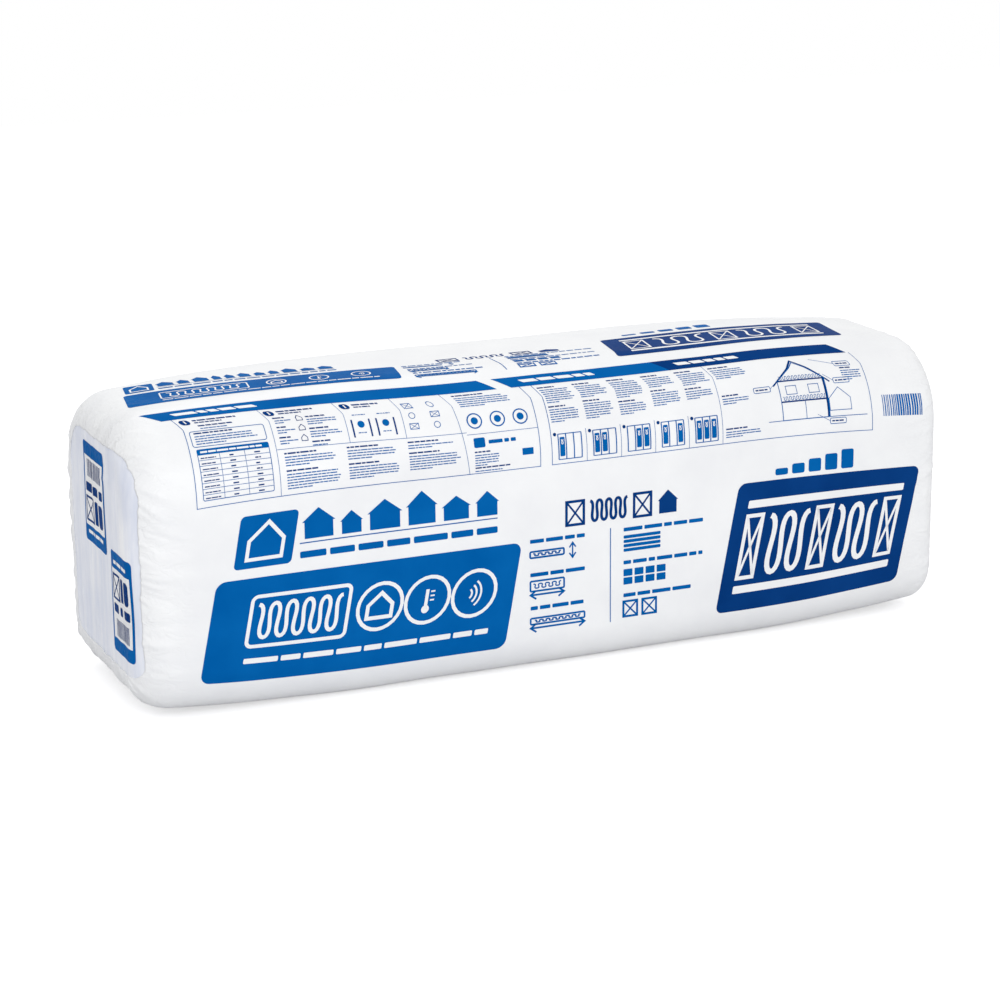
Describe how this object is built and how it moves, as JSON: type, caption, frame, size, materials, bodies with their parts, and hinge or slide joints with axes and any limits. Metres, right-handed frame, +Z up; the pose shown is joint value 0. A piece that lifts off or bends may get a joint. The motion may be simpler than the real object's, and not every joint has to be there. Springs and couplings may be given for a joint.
{
  "type": "bagged fiberglass insulation batts",
  "caption": "Compressed pack of kraft-faced glass wool batts, folded in half and stood on edge in a printed white film bag with plain film ends.",
  "frame": {"origin": "centre of the pack's footprint on the floor", "axes": "+X along the pack from the batts' cut ends to their folds, -Y is the front printed face, +Z up along the width of the batts"},
  "size_m": [1.1892, 0.3578, 0.411],
  "materials": {
    "printed_film": "satin white polyethylene film, taut, printed in mid blue and navy",
    "end_film": "thin translucent film with a pale lavender cast, lightly creased",
    "glass_wool": "compressed white glass fibre wool",
    "kraft_paper": "brown kraft paper"
  },
  "bodies": {
    "root": {"film_sleeve": "printed_film", "end_panel_left": "end_film", "end_panel_right": "end_film", "batt_1": "glass_wool", "facing_1": "kraft_paper", "batt_2": "glass_wool", "facing_2": "kraft_paper", "batt_3": "glass_wool", "facing_3": "kraft_paper", "batt_4": "glass_wool", "facing_4": "kraft_paper", "batt_5": "glass_wool", "facing_5": "kraft_paper", "batt_6": "glass_wool", "facing_6": "kraft_paper", "batt_7": "glass_wool", "facing_7": "kraft_paper", "batt_8": "glass_wool", "facing_8": "kraft_paper", "batt_9": "glass_wool", "facing_9": "kraft_paper"}
  },
  "joints": []
}
